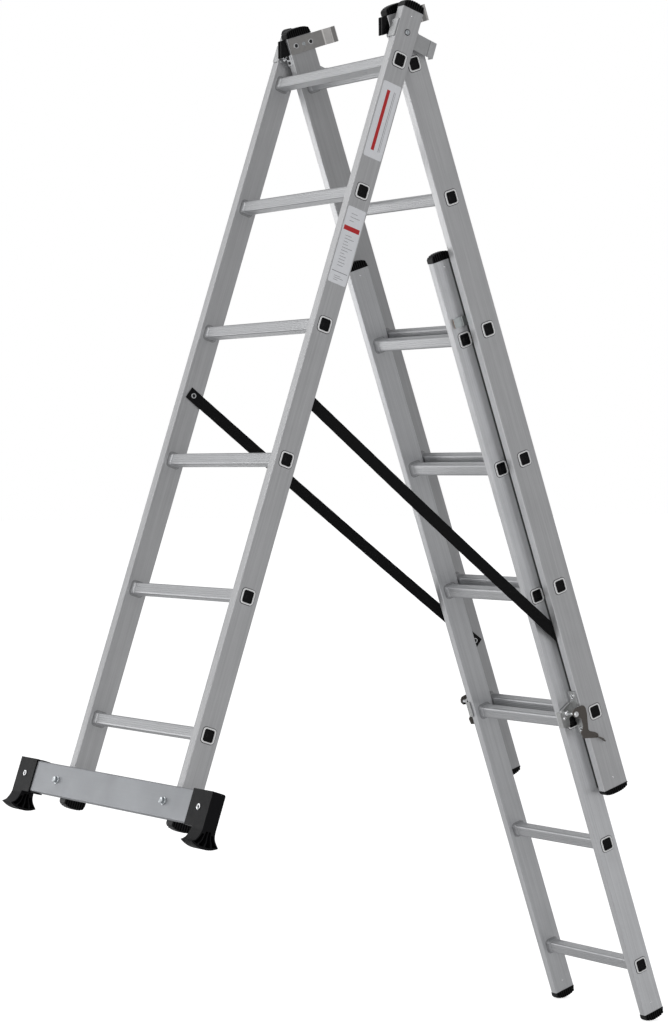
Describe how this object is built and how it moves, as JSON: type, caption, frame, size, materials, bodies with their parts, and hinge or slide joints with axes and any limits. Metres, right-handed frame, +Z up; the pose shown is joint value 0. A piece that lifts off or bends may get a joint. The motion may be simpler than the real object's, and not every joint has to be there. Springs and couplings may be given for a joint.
{
  "type": "combination ladder",
  "caption": "Aluminium combination ladder set up as an A-frame on stairs, with a sliding lower section, hinged top, spreader straps and a wide stabiliser foot bar.",
  "frame": {"origin": "on the level of the lowest feet, in the middle of the ladder's width and of its overall depth", "axes": "+Z up, X along the rungs, the front section with the stabiliser bar faces -Y"},
  "size_m": [0.824, 1.2856, 2.1245],
  "materials": {
    "alu_stile": "brushed",
    "alu_rung": "satin",
    "alu_bar": "satin",
    "zinc_steel": "satin",
    "dark_steel": "satin",
    "black_plastic": "matte",
    "webbing": "matte"
  },
  "bodies": {
    "front_section": {"front_bracket_left": "zinc_steel", "front_bracket_right": "zinc_steel", "front_cap_foot_left": "black_plastic", "front_cap_foot_right": "black_plastic", "front_cap_top_left": "black_plastic", "front_cap_top_right": "black_plastic", "front_rung_1": "alu_rung", "front_rung_2": "alu_rung", "front_rung_3": "alu_rung", "front_rung_4": "alu_rung", "front_rung_5": "alu_rung", "front_rung_6": "alu_rung", "front_stile_left": "alu_stile", "front_stile_right": "alu_stile", "stabiliser_bar": "alu_bar", "stabiliser_bolt_left": "zinc_steel", "stabiliser_bolt_right": "zinc_steel", "stabiliser_shoe_left": "black_plastic", "stabiliser_shoe_right": "black_plastic", "strap_left": "webbing", "strap_right": "webbing"},
    "rear_section": {"guide_lip_left": "zinc_steel", "guide_lip_right": "zinc_steel", "hinge_pin_left": "zinc_steel", "hinge_pin_right": "zinc_steel", "latch_bracket_left": "zinc_steel", "latch_bracket_right": "zinc_steel", "latch_pin_left": "zinc_steel", "latch_pin_right": "zinc_steel", "rear_bracket_left": "zinc_steel", "rear_bracket_right": "zinc_steel", "rear_cap_foot_left": "black_plastic", "rear_cap_foot_right": "black_plastic", "rear_cap_top_left": "black_plastic", "rear_cap_top_right": "black_plastic", "rear_rung_1": "alu_rung", "rear_rung_2": "alu_rung", "rear_rung_3": "alu_rung", "rear_rung_4": "alu_rung", "rear_rung_5": "alu_rung", "rear_rung_6": "alu_rung", "rear_stile_left": "alu_stile", "rear_stile_right": "alu_stile", "stop_block_left": "black_plastic", "stop_block_right": "black_plastic"},
    "extension_section": {"extension_cap_foot_left": "black_plastic", "extension_cap_foot_right": "black_plastic", "extension_cap_top_left": "black_plastic", "extension_cap_top_right": "black_plastic", "extension_rung_1": "alu_rung", "extension_rung_2": "alu_rung", "extension_rung_3": "alu_rung", "extension_rung_4": "alu_rung", "extension_rung_5": "alu_rung", "extension_rung_6": "alu_rung", "extension_stile_left": "alu_stile", "extension_stile_right": "alu_stile"},
    "latch_left": {"latch_hook_left": "dark_steel"},
    "latch_right": {"latch_hook_right": "dark_steel"}
  },
  "joints": [
    {"name": "fold", "type": "hinge", "parent": "front_section", "child": "rear_section", "pos_m": [0, -0.04245, 2.00888], "axis": [-1, 0, 0], "range_deg": [0, 24], "deforming": ["strap_left", "strap_right"]},
    {"name": "extension_slide", "type": "slide", "parent": "rear_section", "child": "extension_section", "axis": [0, -0.3234, 0.9463], "range_m": [0, 0.28]},
    {"name": "latch_left_swing", "type": "hinge", "parent": "rear_section", "child": "latch_left", "pos_m": [-0.21, 0.38189, 0.66844], "axis": [1, 0, 0], "range_deg": [0, 30]},
    {"name": "latch_right_swing", "type": "hinge", "parent": "rear_section", "child": "latch_right", "pos_m": [0.21, 0.38189, 0.66844], "axis": [1, 0, 0], "range_deg": [0, 30]}
  ]
}
